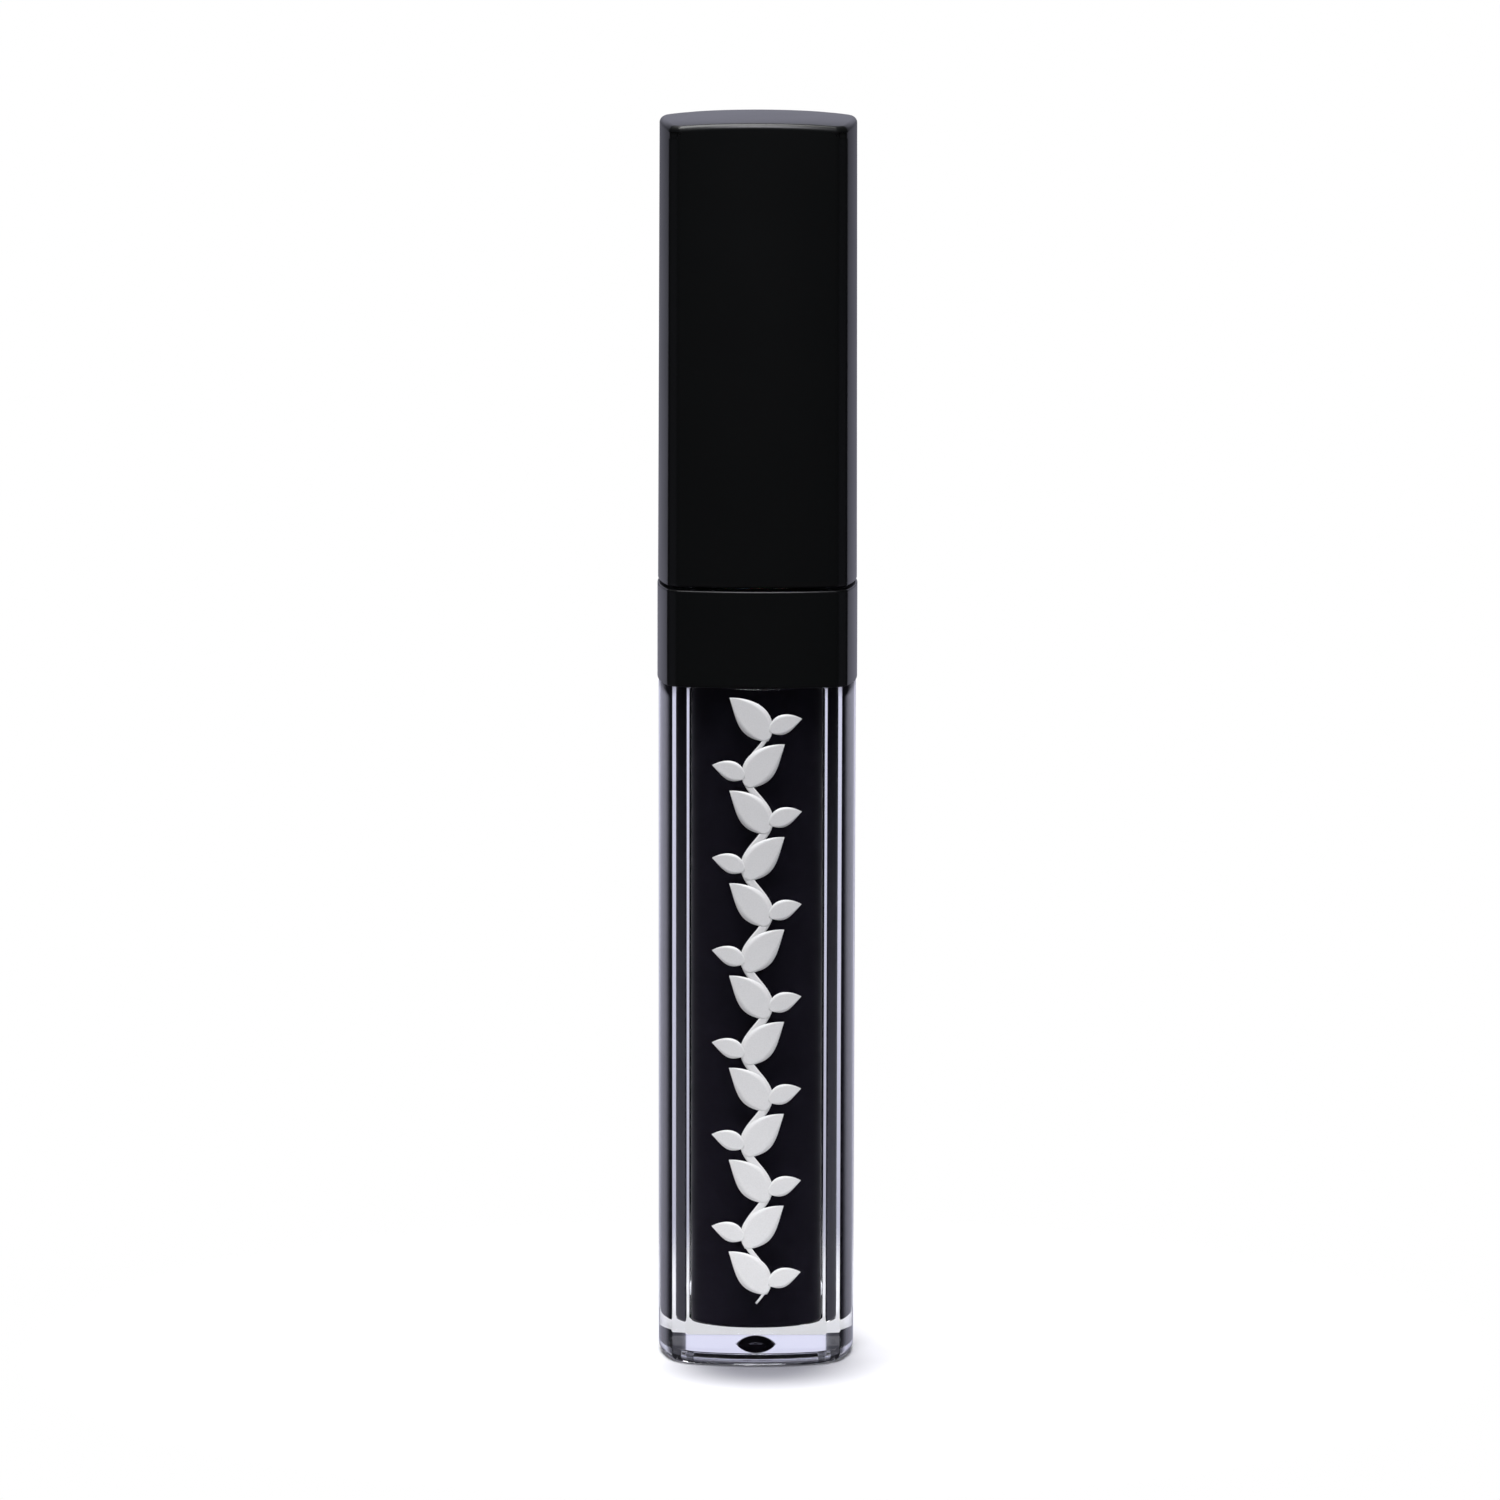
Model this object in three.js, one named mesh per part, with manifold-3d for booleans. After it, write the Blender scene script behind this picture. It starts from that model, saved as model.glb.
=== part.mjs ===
// A lip gloss tube: a clear, thick-walled bottle with a soft-square section, a black collar on its
// shoulder, a wiper in its neck and a screw cap that carries the wand and its doe-foot applicator.
// Millimetres, +Z up. The origin is the middle of the base, which rests on Z = 0.
import * as THREE from "three";
import { mergeVertices } from "three/addons/utils/BufferGeometryUtils.js";
import Module from "manifold-3d";

const wasm = await Module();
wasm.setup();

// ---------------------------------------------------------------- driving dimensions

const overallHeight = 107.4;
const seamHeight = 67.4; // the joint line between the collar and the cap
const seamGap = 0.3;
const collarHeight = 8.3;
const neckTop = 78;
const looseGap = 0.3; // between pieces that are pushed together on the bench
const fineGap = 0.15; // between pieces that seat on each other

const bottleHalf = 8.5; // half of the width across two opposite faces
const collarHalf = 8.6;
const capHalf = 8.55;
const mouldDraft = 0.06; // how much a moulded face leans in, over its length
// In plan: bow is the radius of each face, reach is how much further out the flat at each corner lies
// than the faces, and edge is the radius between a face and a corner flat.
const bottlePlan = { bow: 16, reach: 0.96, edge: 0.5 };
const capPlan = { bow: 26, reach: 1.69, edge: 0.8 };
const facetsPerFace = 8;
const facetsPerEdge = 2;
const facetsPerTurn = 48;

const recessDepth = 1; // of the underside, inside the ring that the bottle stands on
const baseThickness = 3; // from the ring to the cavity's floor
const cavityTopRadius = 4.87;
const cavityFootRadius = 4.83;
const glossSurface = 64.6;

const neckRadius = 5.95;
const threadRidge = 0.36; // the radius of the round bar that stands out as the thread
const threadPitch = 2.5;
const threadBottom = 70.6; // the neck's thread, and the cap's a little above it
const threadClearance = 0.07; // crest to crest, so that the cap can also be drawn straight off

const capWall = 1;
const ceilingThickness = 1.3; // of the inner cap, over the neck
const innerCapRadius = 7.35;
const bossTop = 92; // the boss in the inner cap that holds the wand
const bossBore = 2.45;

const rodRadius = 2.1;
const socketRadius = 0.95; // in the rod's lower end, for the applicator's spigot
const socketDepth = 6.2;
const tipRadius = 2.2;
const tipBottom = 6.4;
const tipLength = 13.4;
const rodBottom = tipBottom + tipLength + 0.9;
const flockThickness = 0.38;
const wiperFlange = 0.77; // its thickness on top of the neck
const lipRadius = 2.32; // the wiper's orifice

const collarTop = seamHeight - seamGap / 2;
const collarBottom = collarTop - collarHeight;
const capBottom = seamHeight + seamGap / 2;
const bodyTop = collarBottom - looseGap;
const ceiling = neckTop + 2;
const ceilingTop = ceiling + ceilingThickness;

// ---------------------------------------------------------------- materials

function plastic(name, colour, roughness, extra = {}) {
  return new THREE.MeshStandardMaterial({ name, color: colour, roughness, metalness: 0, ...extra });
}

const clearCopolyester = plastic("clear_copolyester", 0xe8eaf4, 0.05, {
  transparent: true,
  opacity: 0.3,
});
const softTouchBlack = plastic("soft_touch_black", 0x0c0d0e, 0.55);
const blackPolypropylene = plastic("black_polypropylene", 0x161618, 0.4);
const naturalPolyethylene = plastic("natural_polyethylene", 0xdcdcd6, 0.45);
const blackGloss = plastic("black_gloss", 0x15131a, 0.12);
const nitrileRubber = plastic("nitrile_rubber", 0x2a2a2c, 0.7);
const elastomer = plastic("elastomer", 0xd8d2c8, 0.6);
const nylonFlock = plastic("nylon_flock", 0x3a343c, 0.95);

// ---------------------------------------------------------------- building blocks

// The outline of a soft square: four bowed faces and a flat across each corner, with small rounded edges.
function softSquare({ half, bow, corner, edge }) {
  const faceOffset = bow - half;
  const edgeSum = (corner - edge) * Math.SQRT2; // the two coordinates of an edge's centre, added up
  const reach = edgeSum + faceOffset;
  const along = (reach - Math.sqrt(2 * (bow - edge) ** 2 - reach ** 2)) / 2;
  const faceAngle = Math.atan2(along, edgeSum - along + faceOffset);
  const points = [];
  const arc = (x, y, radius, from, to, facets) =>
    Array.from({ length: facets + 1 }, (_, i) => {
      const angle = from + ((to - from) * i) / facets;
      return new THREE.Vector2(x + radius * Math.cos(angle), y + radius * Math.sin(angle));
    });
  const quarter = [
    ...arc(-faceOffset, 0, bow, -faceAngle, faceAngle, facetsPerFace).slice(1, -1),
    ...arc(edgeSum - along, along, edge, faceAngle, Math.PI / 4, facetsPerEdge),
    ...arc(along, edgeSum - along, edge, Math.PI / 4, Math.PI / 2 - faceAngle, facetsPerEdge),
  ];
  for (let side = 0; side < 4; side += 1) {
    const turn = (side * Math.PI) / 2;
    points.push(...quarter.map((point) => point.clone().rotateAround(new THREE.Vector2(), turn)));
  }
  return new THREE.Shape(points);
}

// A plan's section of a face-to-face half width, drawn in evenly by an inset.
function section(plan, half, inset = 0) {
  const sharpest = 0.15;
  return {
    half: half - inset,
    bow: plan.bow - inset,
    corner: half + plan.reach - inset,
    edge: Math.max(plan.edge - inset, sharpest),
  };
}

// A bar of that section. Each level is [height, how far the outline has drawn in there].
function softBar(outline, levels) {
  const steps = levels.length - 1;
  const geometry = new THREE.ExtrudeGeometry(softSquare(outline), {
    depth: steps,
    steps,
    bevelEnabled: false,
  });
  const place = geometry.attributes.position;
  for (let i = 0; i < place.count; i += 1) {
    const [level, inset] = levels[Math.round(place.getZ(i))];
    const scale = 1 - inset / outline.half;
    place.setXYZ(i, place.getX(i) * scale, place.getY(i) * scale, level);
  }
  return geometry;
}

// The levels of a rounded edge: a quarter turn that starts on the end face, or ends on it.
function roundedFoot(height, radius, facets = 4) {
  return Array.from({ length: facets + 1 }, (_, i) => {
    const angle = (i / facets) * (Math.PI / 2);
    return [height + radius * (1 - Math.cos(angle)), radius * (1 - Math.sin(angle))];
  });
}

function roundedHead(height, radius, inset = 0, facets = 4) {
  return roundedFoot(0, radius, facets)
    .reverse()
    .map(([rise, drawnIn]) => [height - rise, inset + drawnIn]);
}

// A solid of revolution about Z, from a closed outline of [radius, height] pairs.
function turned(outline, facets = facetsPerTurn) {
  const points = outline.map(([radius, height]) => new THREE.Vector2(radius, height));
  const onAxis = points[0].x === 0 && points[points.length - 1].x === 0;
  if (!onAxis) points.push(points[0].clone());
  return new THREE.LatheGeometry(points, facets).rotateX(Math.PI / 2);
}

// A helix about Z. At both ends it runs in by fade, towards the axis or, if that is negative, away from it.
class Helix extends THREE.Curve {
  constructor(radius, bottom, turns, fade) {
    super();
    Object.assign(this, { radius, bottom, turns, fade });
  }

  getPoint(t) {
    const endShare = 0.08;
    const faded = Math.max(0, 1 - Math.min(t, 1 - t) / endShare);
    const radius = this.radius - this.fade * faded;
    const angle = 2 * Math.PI * this.turns * t;
    const height = this.bottom + threadPitch * this.turns * t;
    return new THREE.Vector3(radius * Math.cos(angle), radius * Math.sin(angle), height);
  }
}

// A rounded thread: a round bar wound on a helix, to be joined to the wall that it stands on.
function thread(radius, bottom, turns, fade) {
  const sides = 8;
  const stepsPerTurn = 30;
  const corners = Array.from({ length: sides }, (_, i) => {
    const angle = (2 * Math.PI * i) / sides;
    return new THREE.Vector2(threadRidge * Math.cos(angle), threadRidge * Math.sin(angle));
  });
  return new THREE.ExtrudeGeometry(new THREE.Shape(corners), {
    steps: Math.round(turns * stepsPerTurn),
    bevelEnabled: false,
    extrudePath: new Helix(radius, bottom, turns, fade),
  });
}

// Four copies of a block that stands off the axis, spread evenly about Z from a first angle.
function fourBlocks({ from, to, width, bottom, height }, firstDegrees) {
  return [0, 90, 180, 270].map((degrees) =>
    new THREE.BoxGeometry(to - from, width, height)
      .translate((from + to) / 2, 0, bottom + height / 2)
      .rotateZ(THREE.MathUtils.degToRad(firstDegrees + degrees)),
  );
}

// ---------------------------------------------------------------- joining and cutting

// A closed geometry as a solid that can be joined and cut.
function solid(geometry) {
  const bare = geometry.clone();
  bare.deleteAttribute("normal");
  bare.deleteAttribute("uv");
  const merged = mergeVertices(bare, 1e-5);
  return new wasm.Manifold(
    new wasm.Mesh({
      numProp: 3,
      vertProperties: merged.attributes.position.array,
      triVerts: new Uint32Array(merged.index.array),
    }),
  );
}

function join(...geometries) {
  return geometries.map(solid).reduce((whole, next) => whole.add(next));
}

function cut(whole, ...geometries) {
  return geometries.map(solid).reduce((rest, next) => rest.subtract(next), whole);
}

// A named mesh from a geometry or from a joined and cut solid.
function piece(name, material, made) {
  let geometry = made;
  if (!made.isBufferGeometry) {
    const result = made.getMesh();
    geometry = new THREE.BufferGeometry();
    geometry.setAttribute("position", new THREE.BufferAttribute(result.vertProperties, 3));
    geometry.setIndex(new THREE.BufferAttribute(result.triVerts, 1));
    geometry.computeVertexNormals();
  }
  const mesh = new THREE.Mesh(geometry, material);
  mesh.name = name;
  return mesh;
}

// ---------------------------------------------------------------- the bottle and what stays with it

// The bottle: a solid soft-square bar with a round cavity, a shoulder plug under the collar and a neck.
function bottle() {
  const footRadius = 0.85;
  const shoulderEdge = 0.25;
  const body = softBar(section(bottlePlan, bottleHalf), [
    ...roundedFoot(0, footRadius).map(([height, inset]) => [height, inset + mouldDraft]),
    [bodyTop - shoulderEdge, 0],
    [bodyTop, shoulderEdge],
  ]);
  const maleThread = thread(neckRadius, threadBottom, 1.5, threadRidge);
  return cut(join(body, shoulderPlug(), neck(), maleThread), cavity(), recess(), gateDimple());
}

// The plug stands in the collar, which snaps over a low bead that runs round it.
function shoulderPlug() {
  const inset = 1.14;
  const chamfer = 0.5;
  const beadRise = 0.14;
  const beadHeight = bodyTop + 2;
  const top = collarTop - 1.5;
  return softBar(section(bottlePlan, bottleHalf, inset), [
    [bodyTop - 1, 0],
    [beadHeight - 0.4, 0],
    [beadHeight, -beadRise],
    [beadHeight + 0.4, 0],
    [top - chamfer, 0],
    [top, chamfer],
  ]);
}

// The neck's bar, with a bead that keeps the collar down.
function neck() {
  const beadRise = 0.35;
  const beadBottom = collarTop + 0.15;
  const mouthChamfer = 0.3;
  return turned([
    [0, bodyTop - 2],
    [neckRadius, bodyTop - 2],
    [neckRadius, beadBottom],
    [neckRadius + beadRise, beadBottom + 0.2],
    [neckRadius + beadRise, beadBottom + 0.5],
    [neckRadius, beadBottom + 0.7],
    [neckRadius, neckTop - mouthChamfer],
    [neckRadius - mouthChamfer, neckTop],
    [0, neckTop],
  ]);
}

// The round cavity, drawn upwards out of the neck, with a rounded foot.
function cavity(clearance = 0, top = neckTop + 1) {
  const footRadius = 0.4;
  const foot = baseThickness + clearance;
  const radius = cavityFootRadius - clearance;
  return turned([
    [0, foot],
    ...roundedFoot(foot, footRadius).map(([height, inset]) => [radius - inset, height]),
    [cavityTopRadius - clearance, bodyTop],
    [cavityTopRadius - clearance, top],
    [0, top],
  ]);
}

// The recess in the underside leaves a narrow ring for the bottle to stand on.
function recess() {
  const ringWidth = 1.6; // from the bottle's faces in
  return softBar(section(bottlePlan, bottleHalf, ringWidth), [
    [-1, -0.1],
    [0, 0],
    [recessDepth, 0.1],
  ]);
}

// The injection gate leaves a shallow round dimple in the middle of the recess.
function gateDimple() {
  const ballRadius = 1.68;
  const depth = 0.8;
  return new THREE.SphereGeometry(ballRadius, 24, 16)
    .rotateX(Math.PI / 2)
    .translate(0, 0, recessDepth + depth - ballRadius);
}

// The collar: a soft-square sleeve with a roof that closes in on the neck.
function shoulderCollar() {
  const wall = 0.95;
  const roof = 1.2;
  const edge = 0.15;
  const edgeFacets = 3;
  const holeRadius = neckRadius + threadRidge + 0.16;
  const outside = softBar(section(capPlan, collarHalf), [
    ...roundedFoot(collarBottom, edge, edgeFacets),
    ...roundedHead(collarTop, edge, 0, edgeFacets),
  ]);
  const inside = softBar(section(capPlan, collarHalf, wall), [
    [collarBottom - 1, 0],
    [collarTop - roof, 0],
  ]);
  const neckHole = turned([
    [0, collarBottom],
    [holeRadius, collarBottom],
    [holeRadius, collarTop + 1],
    [0, collarTop + 1],
  ]);
  return cut(solid(outside), inside, neckHole);
}

// The wiper: a flanged sleeve that seats in the neck and steps down to a thin wiping lip.
function wiper() {
  const sleeve = cavityTopRadius - 0.08;
  const seat = neckTop + 0.08;
  const flangeRadius = neckRadius - 0.1;
  const flangeTop = seat + wiperFlange;
  const mouth = 4.05;
  const shoulder = neckTop - 4.4; // where the sleeve starts to narrow
  const throat = 2.85; // inside the narrow part
  const throatWall = 0.6;
  const lip = shoulder - 6.3;
  return turned([
    [lipRadius, lip],
    [throat + throatWall - 0.25, lip],
    [throat + throatWall, lip + throatWall],
    [throat + throatWall, shoulder - 2.4],
    [sleeve - 0.35, shoulder - 0.7],
    [sleeve, shoulder],
    [sleeve, seat],
    [flangeRadius, seat],
    [flangeRadius, flangeTop - 0.2],
    [flangeRadius - 0.2, flangeTop],
    [mouth + 0.2, flangeTop],
    [mouth, flangeTop - 0.25],
    [mouth, shoulder],
    [throat, shoulder - 2.2],
    [throat, lip + 1.3],
    [lipRadius, lip + 0.4],
  ]);
}

// The gloss fills the cavity to above the collar's lower edge. The wand stands in a well in it.
function glossFill() {
  const wallGap = 0.1;
  const wellRadius = 2.6;
  const wellBottom = tipBottom - 0.7;
  const well = turned([
    [0, wellBottom],
    [wellRadius, wellBottom],
    [wellRadius, glossSurface + 1],
    [0, glossSurface + 1],
  ]);
  return cut(solid(cavity(wallGap, glossSurface)), well);
}

// ---------------------------------------------------------------- the cap and what it carries

// Lowers the top of a bar to a pillow, which falls away slowly at first and faster towards the corners.
function pillow(geometry, top, drop) {
  const place = geometry.attributes.position;
  for (let i = 0; i < place.count; i += 1) {
    const reach = Math.hypot(place.getX(i), place.getY(i)) / capHalf;
    if (place.getZ(i) > top) place.setZ(i, place.getZ(i) - drop * reach ** 4);
  }
  return geometry;
}

// The outer cap: a soft-square shell with a slightly crowned top.
function outerCap() {
  const roof = 1.3;
  const crownDrop = 0.33;
  const topEdge = 0.5;
  const rimEdge = 0.25;
  const topDraft = 0.1;
  const outside = softBar(section(capPlan, capHalf), [
    ...roundedFoot(capBottom, rimEdge, 3),
    ...roundedHead(overallHeight, topEdge, topDraft),
    ...[2.5, 5, 7.5].map((inset) => [overallHeight, inset]),
  ]);
  const insideTop = overallHeight - roof - crownDrop;
  const inside = softBar(section(capPlan, capHalf, capWall), [
    [capBottom - 1, 0],
    [insideTop - 0.6, topDraft],
    [insideTop, topDraft + 0.6],
  ]);
  return cut(solid(pillow(outside, overallHeight - 2 * topEdge, crownDrop)), inside);
}

// The inner cap: a threaded skirt, a ceiling over the neck, a boss for the wand's head, four lugs that
// key it into the corners of the outer cap, and four stiffening fins.
function innerCap() {
  const skirtBottom = capBottom + 0.6;
  const skirtBore = neckRadius + threadRidge + threadClearance + threadRidge;
  const bossRadius = 3.5;
  const shell = turned([
    [0, bossTop - 1],
    [bossBore, bossTop - 1],
    [bossBore, ceiling],
    [skirtBore, ceiling],
    [skirtBore, skirtBottom + 0.3],
    [skirtBore + 0.2, skirtBottom],
    [innerCapRadius, skirtBottom],
    [innerCapRadius, ceilingTop],
    [bossRadius, ceilingTop],
    [bossRadius, bossTop],
    [0, bossTop],
  ]);
  const runIn = -0.24; // into the skirt's wall
  const femaleThread = thread(skirtBore, threadBottom + 0.6, 1.25, runIn);
  const lug = { from: 6.9, to: 8.75, width: 1.2, bottom: 69.5, height: 11 };
  const fin = { from: 3.2, to: 7.1, width: 0.9, bottom: ceilingTop - 0.1, height: 5 };
  return join(shell, femaleThread, ...fourBlocks(lug, 45), ...fourBlocks(fin, 0));
}

// The seal ring lies on the wiper's flange, under the inner cap's ceiling.
function sealRing() {
  const inner = 4.25;
  const outer = 5.9;
  const bottom = neckTop + 1;
  const top = ceiling - fineGap;
  const edge = 0.15;
  return turned([
    [inner, bottom + edge],
    [inner + edge, bottom],
    [outer - edge, bottom],
    [outer, bottom + edge],
    [outer, top - edge],
    [outer - edge, top],
    [inner + edge, top],
    [inner, top - edge],
  ]);
}

// The wand's rod: a barbed head in the boss, a flange under the ceiling, a plain shaft and a socket.
function wandRod() {
  const socketTop = rodBottom + socketDepth;
  const headTop = bossTop - 1.4;
  const edge = 0.25;
  const flangeRadius = 3.9;
  const barbRadius = bossBore - fineGap;
  const barb = (height) => [
    [barbRadius, height],
    [barbRadius, height + 0.3],
    [rodRadius, height + 1],
  ];
  return turned([
    [0, socketTop],
    [socketRadius, socketTop - 0.4],
    [socketRadius, rodBottom],
    [rodRadius - edge, rodBottom],
    [rodRadius, rodBottom + edge],
    [rodRadius, ceiling - 1],
    [flangeRadius, ceiling - 1],
    [flangeRadius, ceiling - fineGap],
    [rodRadius, ceiling - fineGap],
    ...[3, 5.5, 8].flatMap((rise) => barb(ceiling + rise)),
    [rodRadius, headTop - edge],
    [rodRadius - edge, headTop],
    [0, headTop],
  ]);
}

// A round-ended bar, a little waisted at the top, and the block that cuts its lower end off on a slant.
function doeFoot(radius, bottom, top) {
  const waist = radius * 0.88;
  const fullTo = bottom + 8;
  const nose = roundedFoot(bottom, radius, 6).map(([height, inset]) => [radius - inset, height]);
  const bar = turned([...nose, [radius, fullTo], [waist, top - 1.5], [waist, top], [0, top]], 32);
  const slant = THREE.MathUtils.degToRad(22);
  const slope = new THREE.BoxGeometry(10, 10, 30)
    .translate(5, 0, 0)
    .rotateY(slant)
    .translate(radius * 0.18, 0, bottom);
  return { bar, slope };
}

// The applicator's core: a smaller doe foot inside the flocking, with a spigot for the rod's socket.
function applicatorCore() {
  const underFlock = flockThickness + 0.12;
  const top = tipBottom + tipLength;
  const foot = doeFoot(tipRadius - underFlock, tipBottom + underFlock, top + 0.75);
  const spigotRadius = socketRadius - fineGap;
  const spigotTop = rodBottom + socketDepth - 0.5;
  const spigot = turned([
    [0, top],
    [spigotRadius, top],
    [spigotRadius, spigotTop - 0.4],
    [spigotRadius - 0.3, spigotTop],
    [0, spigotTop],
  ], 24);
  return cut(solid(foot.bar), foot.slope).add(solid(spigot));
}

// The flocking: a sleeve with a closed end that follows the doe foot.
function flockedTip() {
  const outside = doeFoot(tipRadius, tipBottom, tipBottom + tipLength);
  const inside = doeFoot(tipRadius - flockThickness, tipBottom + flockThickness, tipBottom + tipLength + 2);
  const hollow = cut(solid(inside.bar), inside.slope);
  return cut(solid(outside.bar), outside.slope).subtract(hollow);
}

// ---------------------------------------------------------------- the assembly

const bottleSide = new THREE.Group();
bottleSide.add(
  piece("bottle", clearCopolyester, bottle()),
  piece("shoulder_collar", softTouchBlack, shoulderCollar()),
  piece("wiper", naturalPolyethylene, wiper()),
  piece("gloss_fill", blackGloss, glossFill()),
);

const capSide = new THREE.Group();
capSide.add(
  piece("outer_cap", softTouchBlack, outerCap()),
  piece("inner_cap", blackPolypropylene, innerCap()),
  piece("seal_ring", nitrileRubber, sealRing()),
  piece("wand_rod", blackPolypropylene, wandRod()),
  piece("applicator_core", elastomer, applicatorCore()),
  piece("flocked_tip", nylonFlock, flockedTip()),
);

const lipGlossTube = new THREE.Group();
lipGlossTube.add(bottleSide, capSide);

export default lipGlossTube;
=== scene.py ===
# Lip gloss tube: smooth shells, the gloss, the wand and all finishes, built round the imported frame.
import math
import random

import bmesh
import bpy
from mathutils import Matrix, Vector


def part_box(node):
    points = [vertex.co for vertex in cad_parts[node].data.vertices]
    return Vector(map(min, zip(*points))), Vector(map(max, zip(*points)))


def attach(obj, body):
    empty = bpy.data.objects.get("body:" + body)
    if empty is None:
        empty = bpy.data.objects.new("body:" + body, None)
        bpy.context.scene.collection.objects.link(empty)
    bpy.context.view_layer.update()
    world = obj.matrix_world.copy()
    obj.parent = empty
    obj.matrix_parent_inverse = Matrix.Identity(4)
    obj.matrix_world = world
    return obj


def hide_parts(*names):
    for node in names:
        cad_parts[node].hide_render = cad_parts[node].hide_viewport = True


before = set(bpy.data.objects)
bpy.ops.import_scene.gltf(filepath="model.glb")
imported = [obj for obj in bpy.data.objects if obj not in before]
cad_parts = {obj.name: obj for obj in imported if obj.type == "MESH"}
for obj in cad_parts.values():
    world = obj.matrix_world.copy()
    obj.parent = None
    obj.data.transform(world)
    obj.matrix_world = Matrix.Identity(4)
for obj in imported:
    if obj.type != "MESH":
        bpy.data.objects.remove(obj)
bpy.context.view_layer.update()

mm = 0.001  # every size below is in millimetres and is turned to metres with this
random.seed(7)
print("frame loaded:", len(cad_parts), "nodes")


def nodeBox(node):
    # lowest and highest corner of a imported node, in millimetres
    low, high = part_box(node)
    return low / mm, high / mm


bottleHigh = nodeBox("bottle")[1]
collarLow, collarHigh = nodeBox("shoulder_collar")
capLow, capHigh = nodeBox("outer_cap")
glossLow, glossHigh = nodeBox("gloss_fill")
wiperLow, wiperHigh = nodeBox("wiper")
linerLow, linerHigh = nodeBox("inner_cap")
sealLow, sealHigh = nodeBox("seal_ring")
rodLow, rodHigh = nodeBox("wand_rod")
tipLow, tipHigh = nodeBox("flocked_tip")

# ---- shaping helpers

# In plan: bow is the radius of each bulging face, reach is how much further out the flat at each corner
# lies than the faces, and edge is the radius between a face and a corner flat.
bottlePlan = {"bow": 16.0, "reach": 0.96, "edge": 0.5}
capPlan = {"bow": 26.0, "reach": 1.69, "edge": 0.8}
section = {"facePoints": 24, "edgePoints": 6, "flatPoints": 4, "sharpest": 0.12}


def softSquare(plan, half, inset=0.0):
    # four bowed faces and a flat across each corner with softly rounded edges, drawn in evenly by inset
    bow = plan["bow"] - inset
    edge = max(plan["edge"] - inset, section["sharpest"])
    offset = plan["bow"] - half
    centreSum = (half + plan["reach"] - inset - edge) * math.sqrt(2)
    reach = centreSum + offset
    along = (reach - math.sqrt(2 * (bow - edge) ** 2 - reach**2)) / 2
    out = centreSum - along
    faceAngle = math.atan2(along, out + offset)
    quarter = []
    for i in range(section["facePoints"]):
        a = -faceAngle + 2 * faceAngle * i / section["facePoints"]
        quarter.append((bow * math.cos(a) - offset, bow * math.sin(a)))
    turn = math.pi / 4 - faceAngle
    for i in range(section["edgePoints"]):
        a = faceAngle + turn * i / section["edgePoints"]
        quarter.append((out + edge * math.cos(a), along + edge * math.sin(a)))
    half45 = edge * math.sqrt(0.5)
    for i in range(section["flatPoints"] + 1):
        t = i / section["flatPoints"]
        quarter.append((out + (along - out) * t + half45, along + (out - along) * t + half45))
    for i in range(1, section["edgePoints"]):
        a = math.pi / 4 + turn * i / section["edgePoints"]
        quarter.append((along + edge * math.cos(a), out + edge * math.sin(a)))
    turns = [(1, 0), (0, 1), (-1, 0), (0, -1)]
    return [(x * c - y * s, x * s + y * c) for c, s in turns for x, y in quarter]


# the bearing of each point round the section
bearings = [math.atan2(y, x) for x, y in softSquare(bottlePlan, capHigh.x)]


def squareRing(plan, half, height, inset=0.0, scale=1.0):
    return [(x * scale, y * scale, height) for x, y in softSquare(plan, half, inset)]


def capRing(half, height, inset=0.0, scale=1.0):
    return squareRing(capPlan, half, height, inset, scale)


def bottleRing(half, height, inset=0.0, scale=1.0):
    return squareRing(bottlePlan, half, height, inset, scale)


def roundRing(radius, height):
    return [(radius * math.cos(a), radius * math.sin(a), height) for a in bearings]


def mixRings(first, second, share):
    return [tuple(p + (q - p) * share for p, q in zip(a, b)) for a, b in zip(first, second)]


def quarterTurn(steps):
    # (sine, 1 - cosine) pairs of a quarter turn, for rounded edges
    angles = [math.pi / 2 * i / steps for i in range(steps + 1)]
    return [(math.sin(a), 1 - math.cos(a)) for a in angles]


def addMesh(name, points, faces):
    mesh = bpy.data.meshes.new(name)
    mesh.from_pydata([Vector(p) * mm for p in points], [], faces)
    bm = bmesh.new()
    bm.from_mesh(mesh)
    bmesh.ops.remove_doubles(bm, verts=bm.verts, dist=1e-8)
    bmesh.ops.recalc_face_normals(bm, faces=bm.faces)
    bm.to_mesh(mesh)
    bm.free()
    mesh.shade_smooth()
    piece = bpy.data.objects.new(name, mesh)
    bpy.context.scene.collection.objects.link(piece)
    return piece


def skin(name, rings, closed=False):
    # skins rings of equal length in order; a ring of one point closes an end
    points = [p for ring in rings for p in ring]
    starts = [sum(len(r) for r in rings[:i]) for i in range(len(rings))]
    pairs = list(zip(range(len(rings) - 1), range(1, len(rings))))
    if closed:
        pairs.append((len(rings) - 1, 0))
    faces = []
    for a, b in pairs:
        count = max(len(rings[a]), len(rings[b]))
        for i in range(count):
            j = (i + 1) % count
            lower = [starts[a] + i % len(rings[a]), starts[a] + j % len(rings[a])]
            upper = [starts[b] + j % len(rings[b]), starts[b] + i % len(rings[b])]
            faces.append(tuple(dict.fromkeys(lower + upper)))
    return addMesh(name, points, faces)


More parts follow.
